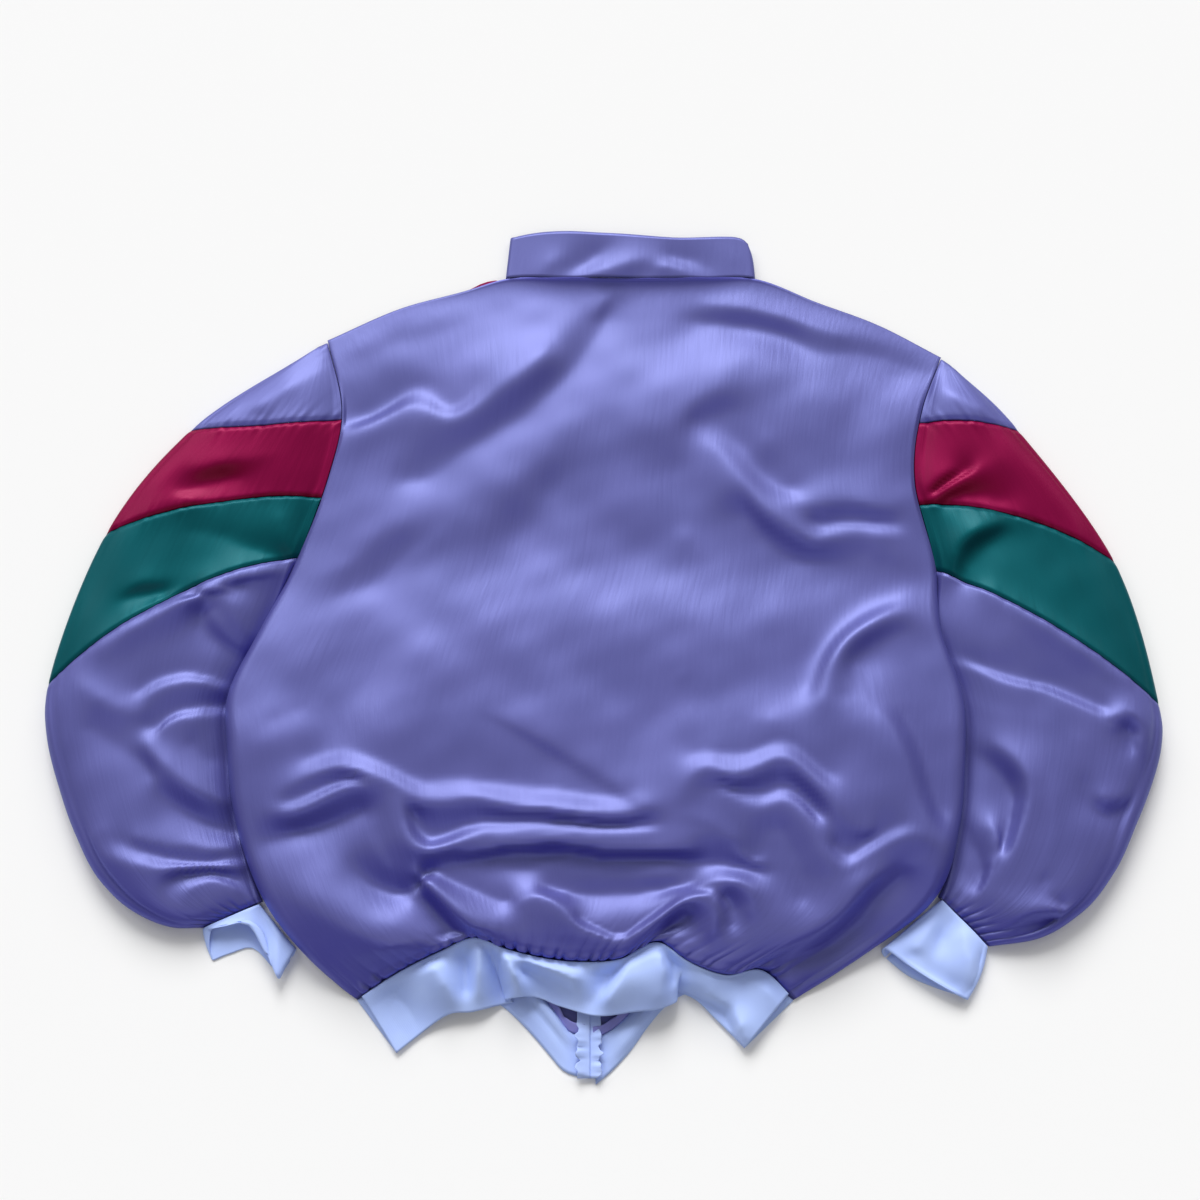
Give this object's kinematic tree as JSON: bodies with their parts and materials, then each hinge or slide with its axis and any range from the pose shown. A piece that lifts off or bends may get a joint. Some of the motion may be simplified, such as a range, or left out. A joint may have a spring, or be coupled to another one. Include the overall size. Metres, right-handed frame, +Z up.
{
  "type": "shell jacket",
  "caption": "Satin shell jacket laid flat on its front, back up: stand collar, colour-banded sleeves, body gathered into a plain knit waistband and cuffs.",
  "frame": {"origin": "centre of the laid-out jacket, on the surface that it lies on", "axes": "+X along the laid-out width, to the wearer's right sleeve, +Y from waistband to collar, +Z up off the surface"},
  "size_m": [0.9845, 0.7802, 0.0522],
  "materials": {
    "lilac_satin": "glossy satin",
    "magenta_satin": "glossy satin",
    "teal_satin": "glossy satin",
    "blue_knit": "matt plain knit",
    "zip_nylon": "matt nylon tape and coil",
    "zip_metal": "satin metal"
  },
  "bodies": {
    "root": {"back": "lilac_satin", "collar": "lilac_satin", "front_l": "lilac_satin", "front_r": "lilac_satin", "front_yoke_l": "magenta_satin", "front_yoke_r": "magenta_satin", "sleeve_l_cap": "lilac_satin", "sleeve_l_band_magenta": "magenta_satin", "sleeve_l_band_teal": "teal_satin", "sleeve_l_lower": "lilac_satin", "sleeve_r_cap": "lilac_satin", "sleeve_r_band_magenta": "magenta_satin", "sleeve_r_band_teal": "teal_satin", "sleeve_r_lower": "lilac_satin", "cuff_l": "blue_knit", "cuff_r": "blue_knit", "waistband_back": "blue_knit", "waistband_front_l": "blue_knit", "waistband_front_r": "blue_knit", "zip_tape_l": "zip_nylon", "zip_tape_r": "zip_nylon", "zip_chain": "zip_nylon", "zip_slider": "zip_metal"}
  },
  "joints": []
}
